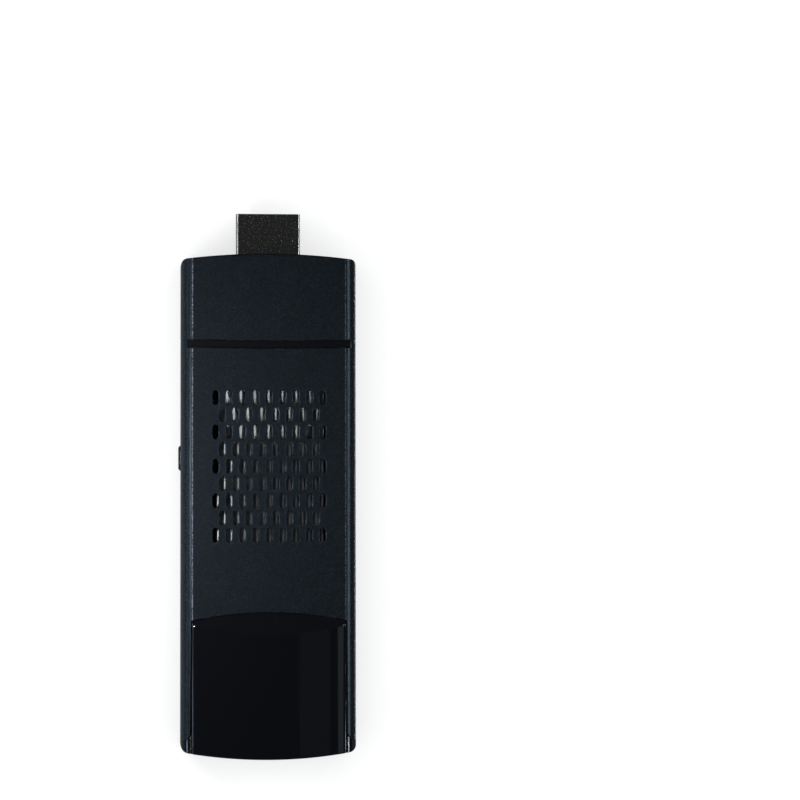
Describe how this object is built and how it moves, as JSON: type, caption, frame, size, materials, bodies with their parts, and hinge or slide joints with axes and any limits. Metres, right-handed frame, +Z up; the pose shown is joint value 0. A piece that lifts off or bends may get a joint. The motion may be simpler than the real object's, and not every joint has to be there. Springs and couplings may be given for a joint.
{
  "type": "hdmi stick computer",
  "caption": "Flat stick computer with a plug at one end, a collar, staggered vent slots over a finned heat sink and a crowned glossy cap at the tail.",
  "frame": {"origin": "middle of the flat back face the stick lies on", "axes": "+Y along the stick to the plug, +Z up through the vented front face, +X to the side with the power inlet"},
  "size_m": [0.0385, 0.1182, 0.0147],
  "materials": {
    "shell_plastic": "fine spark texture",
    "cap_plastic": "polished",
    "plug_metal": "satin nickel",
    "port_steel": "satin nickel",
    "contact_metal": "gold flash",
    "port_plastic": "moulded",
    "board": "solder mask",
    "chip_black": "moulded",
    "substrate": "laminate",
    "silicon": "polished",
    "pad": "soft",
    "sink_aluminium": "milled",
    "screw_steel": "zinc plated",
    "switch_plastic": "moulded",
    "switch_steel": "stamped",
    "shield_steel": "tin plated",
    "antenna_steel": "stamped",
    "ferrite": "pressed",
    "crystal_steel": "bright",
    "tantalum": "moulded",
    "capacitor_body": "fired",
    "led_body": "clear resin"
  },
  "bodies": {
    "case": {"front_shell": "shell_plastic", "back_shell": "shell_plastic", "connector_collar": "shell_plastic", "tail_cap": "cap_plastic", "switch_body": "switch_plastic", "switch_cover": "switch_steel", "main_board": "board", "board_screws": "screw_steel", "heat_sink": "sink_aluminium", "sink_screws": "screw_steel", "hdmi_plug_shell": "plug_metal", "hdmi_insulator": "port_plastic", "hdmi_contacts": "contact_metal", "usb_shell": "port_steel", "usb_tongue": "port_plastic", "usb_contacts": "contact_metal", "micro_usb_shell": "port_steel", "micro_usb_tongue": "port_plastic", "micro_usb_contacts": "contact_metal", "card_socket_base": "port_plastic", "card_socket_cover": "port_steel", "card_socket_contacts": "contact_metal", "wireless_board": "substrate", "wireless_shield": "shield_steel", "antenna": "antenna_steel", "inductors": "ferrite", "crystals": "crystal_steel", "tantalum_capacitor": "tantalum", "capacitors_front": "capacitor_body", "capacitors_back": "capacitor_body", "processor_substrate": "substrate", "processor_die": "silicon", "thermal_pad": "pad", "memory_chip_1": "chip_black", "memory_chip_2": "chip_black", "memory_chip_3": "chip_black", "memory_chip_4": "chip_black", "flash_chip": "chip_black", "power_controller": "chip_black", "hdmi_redriver": "chip_black", "status_led": "led_body"},
    "power_button": {"power_button_cap": "shell_plastic", "switch_plunger": "switch_plastic"}
  },
  "joints": [
    {"name": "power_button_press", "type": "slide", "parent": "case", "child": "power_button", "axis": [1, 0, 0], "range_m": [0, 0.00035], "stiffness_N_per_m": 4000}
  ]
}
